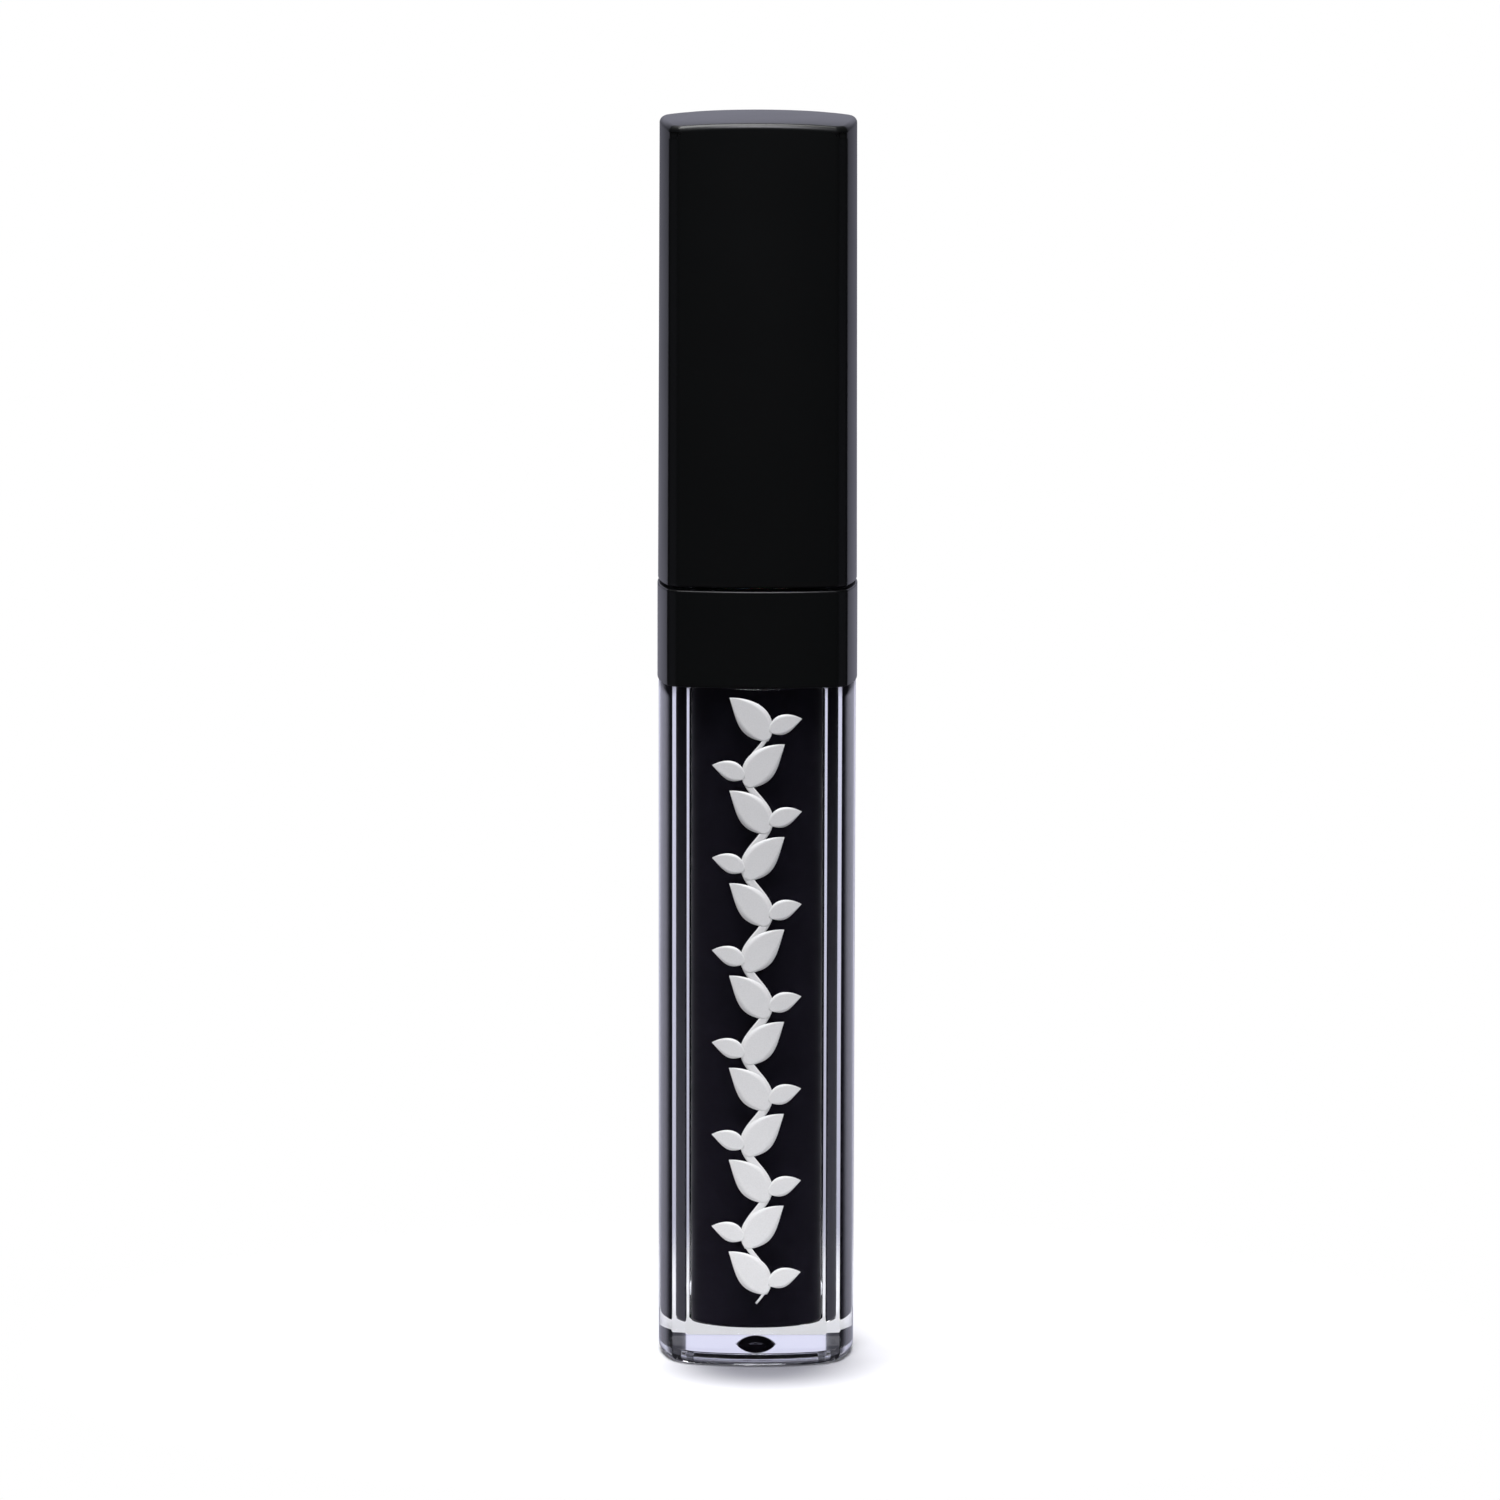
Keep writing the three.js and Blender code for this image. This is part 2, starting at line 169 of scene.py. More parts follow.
def softened(profile, radius=0.06):
    # a lathe outline with each corner replaced by three points, so that edges catch a fine highlight
    eased = []
    count = len(profile)
    for i, here in enumerate(profile):
        if here[0] == 0:
            eased.append(here)
            continue
        before, after = Vector(profile[i - 1]), Vector(profile[(i + 1) % count])
        corner = Vector(here)
        back = min(radius, (before - corner).length * 0.4)
        on = min(radius, (after - corner).length * 0.4)
        start = corner + (before - corner).normalized() * back
        end = corner + (after - corner).normalized() * on
        middle = start.lerp(end, 0.5).lerp(corner, 0.4)
        eased += [tuple(start), tuple(middle), tuple(end)]
    return eased


def lathe(name, profile, facets=96, radius=0.06):
    # turns [radius, height] pairs about Z; an outline that starts and ends on the axis is closed there
    onAxis = profile[0][0] == 0 and profile[-1][0] == 0
    rings = []
    for r, z in softened(profile, radius):
        if r == 0:
            rings.append([(0, 0, z)])
        else:
            turns = [2 * math.pi * i / facets for i in range(facets)]
            rings.append([(r * math.cos(a), r * math.sin(a), z) for a in turns])
    return skin(name, rings, closed=not onAxis)


# ---- material helpers


def hexColour(code):
    # sRGB hex to the linear colour that shaders take
    channels = [int(code[i:i + 2], 16) / 255 for i in (1, 3, 5)]
    linear = [c / 12.92 if c <= 0.04045 else ((c + 0.055) / 1.055) ** 2.4 for c in channels]
    return (*linear, 1.0)


def addNode(tree, kind, settings=None, links=None):
    # one node, its settings or socket values by name, and its links as input: (node, output)
    node = tree.nodes.new(kind)
    for key, value in (settings or {}).items():
        if hasattr(node, key):
            setattr(node, key, value)
        else:
            node.inputs[key].default_value = value
    for key, (source, output) in (links or {}).items():
        tree.links.new(source.outputs[output], node.inputs[key])
    return node


def startMaterial(name, settings):
    # an empty material with its surface shader and object coordinates, in metres
    material = bpy.data.materials.new(name)
    material.use_nodes = True
    tree = material.node_tree
    tree.nodes.clear()
    shader = addNode(tree, "ShaderNodeBsdfPrincipled", settings)
    addNode(tree, "ShaderNodeOutputMaterial", links={"Surface": (shader, "BSDF")})
    place = addNode(tree, "ShaderNodeTexCoord")
    return material, tree, shader, place


def perMetre(sizeInMm):
    # the noise scale whose features are about this wide
    return 1 / (sizeInMm * mm)


# ---- materials

satinAbs = {
    "colour": "#0A0B0B",
    "mottle": "#0D0E0E",
    "roughness": 0.34,
    "grainSize": 0.16,  # spark-eroded tool texture, drawn about twice its real size so that it shows
    "grainDepth": 0.0022,
    "polishSize": 9.0,  # broad, faint changes in gloss from handling
    "ior": 1.42,
}


def makeSatinAbs():
    # Moulded ABS with a satin black lacquer: deep black face on, a soft pale sheen at grazing angles
    # and a very fine grain that breaks up the highlights.
    material, tree, shader, place = startMaterial("satin_lacquered_abs", {"IOR": satinAbs["ior"]})
    grain = addNode(
        tree,
        "ShaderNodeTexNoise",
        {"Scale": perMetre(satinAbs["grainSize"]), "Detail": 3.0, "Roughness": 0.6},
        {"Vector": (place, "Object")},
    )
    polish = addNode(
        tree,
        "ShaderNodeTexNoise",
        {"Scale": perMetre(satinAbs["polishSize"]), "Detail": 2.0},
        {"Vector": (place, "Object")},
    )
    gloss = addNode(
        tree,
        "ShaderNodeMapRange",
        {"To Min": satinAbs["roughness"] - 0.03, "To Max": satinAbs["roughness"] + 0.03},
        {"Value": (polish, "Fac")},
    )
    tint = addNode(
        tree,
        "ShaderNodeMix",
        {"data_type": "RGBA"},
        {"Factor": (grain, "Fac")},
    )
    tint.inputs[6].default_value = hexColour(satinAbs["colour"])
    tint.inputs[7].default_value = hexColour(satinAbs["mottle"])
    bump = addNode(
        tree,
        "ShaderNodeBump",
        {"Strength": 0.6, "Distance": satinAbs["grainDepth"] * mm},
        {"Height": (grain, "Fac")},
    )
    tree.links.new(tint.outputs[2], shader.inputs["Base Color"])
    tree.links.new(gloss.outputs["Result"], shader.inputs["Roughness"])
    tree.links.new(bump.outputs["Normal"], shader.inputs["Normal"])
    return material


clearPetg = {
    "colour": "#FBFCFF",
    "ior": 1.57,
    "roughness": 0.008,
    "flowSize": 7.0,  # the slow ripple that a thick moulding cools with
    "flowDepth": 0.003,
}


def makeClearPetg():
    # Thick injection-moulded PETG from a mirror-polished tool: water clear, bends what is behind it into
    # upright bands, with a barely wavy skin where the thick wall has cooled.
    material, tree, shader, place = startMaterial(
        "polished_clear_petg",
        {
            "Base Color": hexColour(clearPetg["colour"]),
            "IOR": clearPetg["ior"],
            "Transmission Weight": 1.0,
        },
    )
    stretch = addNode(
        tree, "ShaderNodeMapping", {"Scale": (1.0, 1.0, 0.25)}, {"Vector": (place, "Object")}
    )
    flow = addNode(
        tree,
        "ShaderNodeTexNoise",
        {"Scale": perMetre(clearPetg["flowSize"]), "Detail": 1.0},
        {"Vector": (stretch, "Vector")},
    )
    haze = addNode(
        tree,
        "ShaderNodeMapRange",
        {"To Min": clearPetg["roughness"] * 0.5, "To Max": clearPetg["roughness"] * 1.5},
        {"Value": (flow, "Fac")},
    )
    bump = addNode(
        tree,
        "ShaderNodeBump",
        {"Strength": 0.5, "Distance": clearPetg["flowDepth"] * mm},
        {"Height": (flow, "Fac")},
    )
    tree.links.new(haze.outputs["Result"], shader.inputs["Roughness"])
    tree.links.new(bump.outputs["Normal"], shader.inputs["Normal"])
    return material


blackGloss = {
    "colour": "#211E27",
    "pigment": "#27242E",
    "swirlSize": 2.5,  # slow streaks of pigment
    "roughness": 0.1,
    "wetIor": 0.943,  # of the gloss against the wall that it wets, 1.48 over 1.57
}


def makeBlackGloss():
    # Thick pigmented gloss, opaque black with a trace of violet. It wets the wall, so that it shows as a
    # flat deep black, and their common surface turns to a mirror where it is seen at a low angle.
    material, tree, shader, place = startMaterial(
        "poured_black_gloss", {"IOR": 1.46, "Specular IOR Level": 0.0}
    )
    swirl = addNode(
        tree,
        "ShaderNodeTexNoise",
        {"Scale": perMetre(blackGloss["swirlSize"]), "Detail": 4.0, "Distortion": 1.2},
        {"Vector": (place, "Object")},
    )
    tint = addNode(tree, "ShaderNodeMix", {"data_type": "RGBA"}, {"Factor": (swirl, "Fac")})
    tint.inputs[6].default_value = hexColour(blackGloss["colour"])
    tint.inputs[7].default_value = hexColour(blackGloss["pigment"])
    wetting = addNode(tree, "ShaderNodeFresnel", {"IOR": blackGloss["wetIor"]})
    mirror = addNode(tree, "ShaderNodeMix", {"data_type": "RGBA"}, {"Factor": (wetting, "Fac")})
    mirror.inputs[7].default_value = (1, 1, 1, 1)
    dull = addNode(
        tree,
        "ShaderNodeMapRange",
        {"To Min": blackGloss["roughness"], "To Max": 0.0},
        {"Value": (wetting, "Fac")},
    )
    tree.links.new(tint.outputs[2], mirror.inputs[6])
    tree.links.new(mirror.outputs[2], shader.inputs["Base Color"])
    tree.links.new(wetting.outputs["Fac"], shader.inputs["Metallic"])
    tree.links.new(dull.outputs["Result"], shader.inputs["Roughness"])
    return material


whiteInk = {
    "colour": "#F4F4F2",
    "thin": "#E6E6E3",
    "roughness": 0.42,
    "meshSize": 0.12,  # thread spacing of the print screen
    "meshDepth": 0.004,
}


def makeWhiteInk():
    # Screen-printed white ink: an opaque, slightly raised film with the faint tooth of the screen.
    material, tree, shader, place = startMaterial("screen_printed_white_ink", {"IOR": 1.5})
    tooth = addNode(
        tree,
        "ShaderNodeTexNoise",
        {"Scale": perMetre(whiteInk["meshSize"]), "Detail": 2.0},
        {"Vector": (place, "Object")},
    )
    tint = addNode(tree, "ShaderNodeMix", {"data_type": "RGBA"}, {"Factor": (tooth, "Fac")})
    tint.inputs[6].default_value = hexColour(whiteInk["colour"])
    tint.inputs[7].default_value = hexColour(whiteInk["thin"])
    bump = addNode(
        tree,
        "ShaderNodeBump",
        {"Strength": 0.4, "Distance": whiteInk["meshDepth"] * mm},
        {"Height": (tooth, "Fac")},
    )
    rough = addNode(
        tree,
        "ShaderNodeMapRange",
        {"To Min": whiteInk["roughness"] - 0.05, "To Max": whiteInk["roughness"] + 0.08},
        {"Value": (tooth, "Fac")},
    )
    tree.links.new(tint.outputs[2], shader.inputs["Base Color"])
    tree.links.new(rough.outputs["Result"], shader.inputs["Roughness"])
    tree.links.new(bump.outputs["Normal"], shader.inputs["Normal"])
    return material


def makeMoulded(name, light, dark, roughness, grainSize, grainDepth, settings):
    # a plain moulded or rubbery finish: two close shades, a fine grain and slightly uneven gloss
    material, tree, shader, place = startMaterial(name, settings)
    grain = addNode(
        tree,
        "ShaderNodeTexNoise",
        {"Scale": perMetre(grainSize), "Detail": 3.0},
        {"Vector": (place, "Object")},
    )
    tint = addNode(tree, "ShaderNodeMix", {"data_type": "RGBA"}, {"Factor": (grain, "Fac")})
    tint.inputs[6].default_value = hexColour(light)
    tint.inputs[7].default_value = hexColour(dark)
    rough = addNode(
        tree,
        "ShaderNodeMapRange",
        {"To Min": roughness - 0.05, "To Max": roughness + 0.05},
        {"Value": (grain, "Fac")},
    )
    bump = addNode(
        tree,
        "ShaderNodeBump",
        {"Strength": 0.5, "Distance": grainDepth * mm},
        {"Height": (grain, "Fac")},
    )
    tree.links.new(tint.outputs[2], shader.inputs["Base Color"])
    tree.links.new(rough.outputs["Result"], shader.inputs["Roughness"])
    tree.links.new(bump.outputs["Normal"], shader.inputs["Normal"])
    return material


satinBlack = makeSatinAbs()
clearWall = makeClearPetg()
glossBlack = makeBlackGloss()
inkWhite = makeWhiteInk()
# Moulded polypropylene, black: slightly waxy, with a soft wide highlight.
blackPp = makeMoulded(
    "moulded_black_polypropylene", "#101012", "#18181A", 0.42, 0.3, 0.004, {"IOR": 1.49}
)
# Natural low-density polyethylene: milky and waxy, light glows a little way into it.
milkyPe = makeMoulded(
    "moulded_natural_polyethylene",
    "#E9E8E2",
    "#DAD9D2",
    0.4,
    0.5,
    0.004,
    {"IOR": 1.51, "Subsurface Weight": 0.5, "Subsurface Scale": 0.0008},
)
# Nitrile rubber: dark grey, dull and slightly dusty.
sealRubber = makeMoulded(
    "moulded_nitrile_rubber", "#2A2A2C", "#363638", 0.72, 0.25, 0.006, {"IOR": 1.52}
)
# Thermoplastic elastomer: soft cream moulding under the flock.
softCore = makeMoulded("moulded_elastomer", "#D8CFC2", "#CBC1B3", 0.55, 0.3, 0.005, {"IOR": 1.5})
# Electrostatic nylon flock, wet with black gloss: short upright fibres with a velvety edge.
flockFibre = makeMoulded(
    "flocked_black_nylon",
    "#15131A",
    "#2A2630",
    0.7,
    0.2,
    0.01,
    {"IOR": 1.53, "Sheen Weight": 0.6, "Sheen Roughness": 0.4},
)
print("materials made")

# ---- outer cap

capShell = {
    "wall": 1.0,
    "roof": 1.3,
    "crownDrop": 0.33,  # how far the pillow top falls at the middle of a side
    "topEdge": 0.42,
    "rimEdge": 0.12,
    "topDraft": 0.1,
    "edgeSteps": 7,
}


def buildOuterCap():
    half, bottom, top = capHigh.x, capLow.z, capHigh.z
    edge, rim, steps = capShell["topEdge"], capShell["rimEdge"], capShell["edgeSteps"]
    wall, draft = capShell["wall"], capShell["topDraft"]
    ceiling = top - capShell["roof"] - capShell["crownDrop"]
    halfTop = half - draft

    def crowned(ring):
        # the pillow top falls away slowly at first and faster towards the corners
        drop = capShell["crownDrop"]
        return [(x, y, z - drop * (math.hypot(x, y) / half) ** 4) for x, y, z in ring]

    rings = [[(0, 0, ceiling)]]
    rings += [capRing(halfTop, ceiling, wall + 0.5, s) for s in (0.4, 0.8, 0.97, 1.0)]
    rings += [capRing(halfTop, ceiling - 0.5 * c, wall + 0.5 * (1 - s)) for s, c in quarterTurn(4)[1:]]
    rings += [capRing(halfTop, ceiling - 0.6, wall), capRing(half, bottom + 0.3, wall)]
    rings += [capRing(half, bottom + 0.08, wall), capRing(half, bottom, wall - 0.08)]
    rings += [capRing(half, bottom, rim + 0.1)]
    rings += [capRing(half, bottom + rim * c, rim * (1 - s)) for s, c in quarterTurn(4)]
    rings += [capRing(half, bottom + rim + 0.06), capRing(half, bottom + 1.0)]
    shoulder = top - edge
    for share in (0.25, 0.5, 0.75):
        height = bottom + (shoulder - bottom) * share
        rings.append(capRing(half - draft * share, height))
    rings += [capRing(halfTop, z) for z in (shoulder - 1.0, shoulder - 0.35)]
    lift = capShell["crownDrop"] * (halfTop / half) ** 4
    blend = [capRing(halfTop, shoulder - 0.06)]
    blend += [capRing(halfTop, shoulder + edge * s, edge * c) for s, c in quarterTurn(steps)]
    blend += [capRing(halfTop, top, edge + extra) for extra in (0.05, 0.4, 1.0)]
    blend += [capRing(halfTop, top, edge + 1.0, s) for s in (0.85, 0.7, 0.5, 0.3, 0.12)]
    rings[-1] = [(x, y, z - lift) for x, y, z in rings[-1]]
    rings[-2] = [(x, y, z - lift) for x, y, z in rings[-2]]
    rings += [crowned(ring) for ring in blend]
    rings += [[(0, 0, top)]]
    piece = skin("cap_shell", rings)
    piece.data.materials.append(satinBlack)
    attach(piece, "cap_side")
    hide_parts("outer_cap")
    return piece


buildOuterCap()
print("outer cap made")

# ---- shoulder collar

collarShell = {
    "wall": 0.95,
    "roof": 1.2,
    "edge": 0.12,
    "neckHole": 6.47,
}


def buildCollar():
    half, bottom, top = collarHigh.x, collarLow.z, collarHigh.z
    edge, wall, roof, hole = (collarShell[k] for k in ("edge", "wall", "roof", "neckHole"))
    rings = [roundRing(hole, top - roof), roundRing(hole, top - 0.1), roundRing(hole + 0.1, top)]
    rings += [mixRings(roundRing(hole + 0.1, top), capRing(half, top, edge + 0.1), 0.5)]
    rings += [capRing(half, top, edge + 0.1)]
    rings += [capRing(half, top - edge * c, edge * (1 - s)) for s, c in quarterTurn(4)]
    rings += [capRing(half, top - edge - 0.06), capRing(half, top - 0.8)]
    rings += [capRing(half, (top + bottom) / 2), capRing(half, bottom + 0.8)]
    rings += [capRing(half, bottom + edge + 0.06)]
    rings += [capRing(half, bottom + edge * (1 - s), edge * c) for s, c in quarterTurn(4)]
    rings += [capRing(half, bottom, edge + 0.1), capRing(half, bottom, wall - 0.08)]
    rings += [capRing(half, bottom + 0.08, wall), capRing(half, top - roof - 0.1, wall)]
    rings += [capRing(half, top - roof, wall + 0.1)]
    rings += [mixRings(capRing(half, top - roof, wall + 0.1), roundRing(hole, top - roof), 0.5)]
    piece = skin("collar_shell", rings, closed=True)
    piece.data.materials.append(satinBlack)
    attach(piece, "bottle_side")
    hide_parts("shoulder_collar")
    return piece


buildCollar()
print("collar made")

# ---- bottle

bottleBody = {
    "half": collarHigh.x - 0.1,  # half of the width across two opposite faces
    "footRadius": 0.85,
    "draft": 0.06,
    "ringWidth": 1.6,  # from the faces in to the recess in the underside
    "recessDepth": 1.0,
    "recessEdge": 0.12,
    "shoulderEdge": 0.15,
    "shoulderGap": 0.02,  # to the collar's lower edge
    "plugInset": 1.14,
    "neckRadius": 5.95,
    "gateBall": 1.68,  # radius of the dimple's ball
    "gateDepth": 0.8,
    "floor": glossLow.z - 0.1,
    "boreTop": glossHigh.x + 0.1,
    "boreFoot": glossHigh.x + 0.06,
    "boreFootRound": 0.4,
    "threadBottom": 70.6,
    "threadPitch": 2.5,
    "threadTurns": 1.5,
    "threadRidge": 0.34,
    "threadHalfWidth": 0.55,
}


def threadRise(bearing, height, bottom, turns, ridge):
    # how far a helical ridge stands out at a bearing and a height
    share = (bearing % (2 * math.pi)) / (2 * math.pi)
    best = 0.0
    for lap in range(int(turns) + 1):
        along = share + lap
        if along > turns:
            continue
        away = abs(height - bottom - bottleBody["threadPitch"] * along)
        ends = min(1.0, min(along, turns - along) / 0.12)
        if away < bottleBody["threadHalfWidth"]:
            shape = math.cos(math.pi / 2 * away / bottleBody["threadHalfWidth"])
            best = max(best, ridge * ends * shape**0.7)
    return best


def threadedRing(radius, height, bottom, turns, ridge):
    ring = []
    for a in bearings:
        r = radius + threadRise(a, height, bottom, turns, ridge)
        ring.append((r * math.cos(a), r * math.sin(a), height))
    return ring


def boreRadius(height):
    # the bore widens a little from its floor to the shoulder, and is straight above it
    shoulder = collarLow.z - 0.3
    share = min(1.0, max(0.0, (height - bottleBody["floor"]) / (shoulder - bottleBody["floor"])))
    return bottleBody["boreFoot"] + (bottleBody["boreTop"] - bottleBody["boreFoot"]) * share


def boreRings(extra=0.0, top=None):
    # the bore's wall from its top down to its rounded foot and the middle of its floor
    foot, floor = bottleBody["boreFootRound"], bottleBody["floor"] - extra
    shoulder = collarLow.z - 0.3
    heights = [z for z in (top, shoulder + 0.5, shoulder, 45, 30, 15, floor + foot + 0.4) if z <= top]
    rings = [roundRing(boreRadius(z) + extra, z) for z in heights]
    footRadius = boreRadius(floor + foot) + extra
    rings += [roundRing(footRadius - foot * c, floor + foot * (1 - s)) for s, c in quarterTurn(8)]
    rings += [roundRing((footRadius - foot) * share, floor) for share in (0.96, 0.6, 0.25)]
    return rings + [[(0, 0, floor)]]


def buildBottle():
    half, top, neckRadius = bottleBody["half"], bottleHigh.z, bottleBody["neckRadius"]
    foot, draft, plug = (bottleBody[k] for k in ("footRadius", "draft", "plugInset"))
    ball, depth, ring = (bottleBody[k] for k in ("gateBall", "gateDepth", "ringWidth"))
    recess, soft = bottleBody["recessDepth"], bottleBody["recessEdge"]
    shoulder = collarLow.z - bottleBody["shoulderGap"]
    seat = collarHigh.z - 1.5
    footHalf = half - draft
    rings = [[(0, 0, recess + depth)]]
    rimAngle = math.acos((ball - depth) / ball)
    for i in range(1, 10):
        a = rimAngle * i / 9
        rings.append(roundRing(ball * math.sin(a), recess + depth - ball * (1 - math.cos(a))))
    rim = roundRing(ball * math.sin(rimAngle) + 0.05, recess)
    ceilingEdge = bottleRing(half, recess, ring + 0.1 + soft)
    rings += [rim] + [mixRings(rim, ceilingEdge, share) for share in (0.15, 0.5, 0.85, 0.98)]
    rings += [bottleRing(half, recess - soft * c, ring + 0.1 + soft * (1 - s)) for s, c in quarterTurn(4)]
    rings += [bottleRing(half, soft + 0.05, ring)]
    rings += [bottleRing(half, soft * (1 - s), ring - soft * c) for s, c in quarterTurn(4)]
    rings += [bottleRing(half, 0, ring - soft - 0.04), bottleRing(footHalf, 0, foot + 0.04)]
    rings += [bottleRing(footHalf, foot * c, foot * (1 - s)) for s, c in quarterTurn(10)]
    rings += [bottleRing(footHalf, foot + 0.1)]
    for share in (0.02, 0.2, 0.4, 0.6, 0.8, 0.98):
        rings.append(bottleRing(footHalf + draft * share, foot + (shoulder - foot) * share))
    edge = bottleBody["shoulderEdge"]
    rings += [bottleRing(half, shoulder - edge * (1 - s), edge * c) for s, c in quarterTurn(4)]
    rings += [bottleRing(half, shoulder, plug - 0.1), bottleRing(half, shoulder, plug)]
    rings += [bottleRing(half, shoulder + 0.1, plug), bottleRing(half, seat - 0.5, plug)]
    rings += [bottleRing(half, seat - 0.4, plug + 0.05), bottleRing(half, seat, plug + 0.5)]
    neckFoot = roundRing(neckRadius + 0.1, seat)
    rings += [mixRings(rings[-1], neckFoot, share) for share in (0.4, 0.95)]
    rings += [neckFoot, roundRing(neckRadius, seat + 0.15)]
    bead = collarHigh.z + 0.15
    rings += [roundRing(neckRadius, bead), roundRing(neckRadius + 0.3, bead + 0.15)]
    rings += [roundRing(neckRadius + 0.34, bead + 0.35), roundRing(neckRadius + 0.3, bead + 0.55)]
    rings += [roundRing(neckRadius, bead + 0.7)]
    thread = [bottleBody[k] for k in ("threadBottom", "threadTurns", "threadRidge")]
    lowest = bottleBody["threadBottom"] - 0.8
    highest = bottleBody["threadBottom"] + bottleBody["threadTurns"] * bottleBody["threadPitch"] + 0.8
    layers = 64
    for i in range(layers + 1):
        height = lowest + (highest - lowest) * i / layers
        rings.append(threadedRing(neckRadius, height, *thread))
    rings += [roundRing(neckRadius, top - 0.3), roundRing(neckRadius - 0.1, top - 0.08)]
    rings += [roundRing(neckRadius - 0.3, top), roundRing(boreRadius(top) + 0.2, top)]
    rings += [roundRing(boreRadius(top) + 0.06, top - 0.06)]
    rings += boreRings(top=top - 0.25)
    piece = skin("bottle_shell", rings)
    piece.data.materials.append(clearWall)
    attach(piece, "bottle_side")
    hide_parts("bottle")
    return piece


buildBottle()
print("bottle made")

# ---- gloss

glossBody = {
    "wetting": 0.012,  # how far it stands into the wall, so that no air shows between them
    "surface": glossHigh.z,
    "wellRadius": 2.6,
    "wellBottom": tipLow.z - 0.7,
    "meniscus": 0.5,
}


def buildGloss():
    surface, well = glossBody["surface"], glossBody["wellRadius"]
    wall = boreRings(glossBody["wetting"], surface + glossBody["meniscus"])
    rings = [[(0, 0, glossBody["wellBottom"])]]
    rings += [roundRing(well * share, glossBody["wellBottom"]) for share in (0.5, 0.9)]
    rings += [roundRing(well, glossBody["wellBottom"] + 0.3), roundRing(well, surface - 0.2)]
    rings += [roundRing(well + 0.15, surface), roundRing(well + 0.9, surface)]
    rings += [roundRing(boreRadius(surface) - 0.35, surface + 0.12)]
    piece = skin("gloss_body", rings + wall)
    piece.data.materials.append(glossBlack)
    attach(piece, "bottle_side")
    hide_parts("gloss_fill")
    return piece


buildGloss()
print("gloss made")

# ---- printed ornament

sprig = {
    "bottom": 5.6,
    "top": 57.6,
    "sway": 1.05,  # how far the stem swings to each side
    "wave": 8.0,  # height of one full swing
    "stemHalfWidth": 0.36,
    "stemSteps": 180,
    "leafLength": 5.0,
    "leafHalfWidth": 1.35,
    "leafRise": 62,  # degrees above level
    "leafletRise": 35,
    "leafletSize": 0.6,  # share of a leaf
    "film": 0.02,  # thickness of the ink
    "layer": 0.004,  # how much each shape stands over the one that it crosses
    "lift": 0.004,
}


def frontFace(x, height, out=0.0):
    # the point of the bottle's bowed front face at x, pushed out by a little
    half = bottleBody["half"]
    lean = bottleBody["draft"] * (1 - height / collarLow.z)
    bow = bottlePlan["bow"] + out
    y = (bottlePlan["bow"] - (half - lean)) - math.sqrt(bow**2 - x**2)
    return (x, y, height)


def inkStrip(spine, halfWidths, across=6, layer=0):
    # a strip of ink along a spine of (x, height) points, as a thin closed film
    rows = []
    for i, (x, z) in enumerate(spine):
        ahead = spine[min(i + 1, len(spine) - 1)]
        behind = spine[max(i - 1, 0)]
        along = Vector((ahead[0] - behind[0], ahead[1] - behind[1])).normalized()
        side = Vector((-along.y, along.x)) * halfWidths[i]
        shares = [2 * j / across - 1 for j in range(across + 1)]
        rows.append([(x + side.x * t, z + side.y * t) for t in shares])
    points, faces = [], []
    width = across + 1
    top = sprig["lift"] + sprig["film"] + sprig["layer"] * layer
    for out in (sprig["lift"], top):
        points += [frontFace(x, z, out) for row in rows for x, z in row]
    upper = len(rows) * width  # the first point of the film's upper side
    for i in range(len(rows) - 1):
        for j in range(across):
            a = i * width + j
            quad = [a, a + 1, a + width + 1, a + width]
            faces.append(tuple(quad))
            faces.append(tuple(upper + k for k in reversed(quad)))
    rim = [j for j in range(width)] + [i * width + across for i in range(1, len(rows))]
    rim += [(len(rows) - 1) * width + j for j in range(across - 1, -1, -1)]
    rim += [i * width for i in range(len(rows) - 2, 0, -1)]
    for a, b in zip(rim, rim[1:] + rim[:1]):
        faces.append((b, a, upper + a, upper + b))
    return points, faces


def leafStrip(x, z, angle, length, halfWidth, layer):
    # a pointed leaf that curls a little towards its tip
    steps = 18
    spine, widths = [], []
    for i in range(steps + 1):
        t = i / steps
        bend = angle + 0.45 * t * (1 if math.cos(angle) < 0 else -1)
        px, pz = (spine[-1] if spine else (x, z))
        if i:
            px += math.cos(bend) * length / steps
            pz += math.sin(bend) * length / steps
        spine.append((px, pz))
        widths.append(max(0.02, halfWidth * math.sin(math.pi * t**0.8) ** 0.9))
    return inkStrip(spine, widths, layer=layer)


def stemSwing(z):
    # how far the stem stands to the side at a height
    return sprig["sway"] * math.sin(2 * math.pi * (z - sprig["bottom"]) / sprig["wave"])


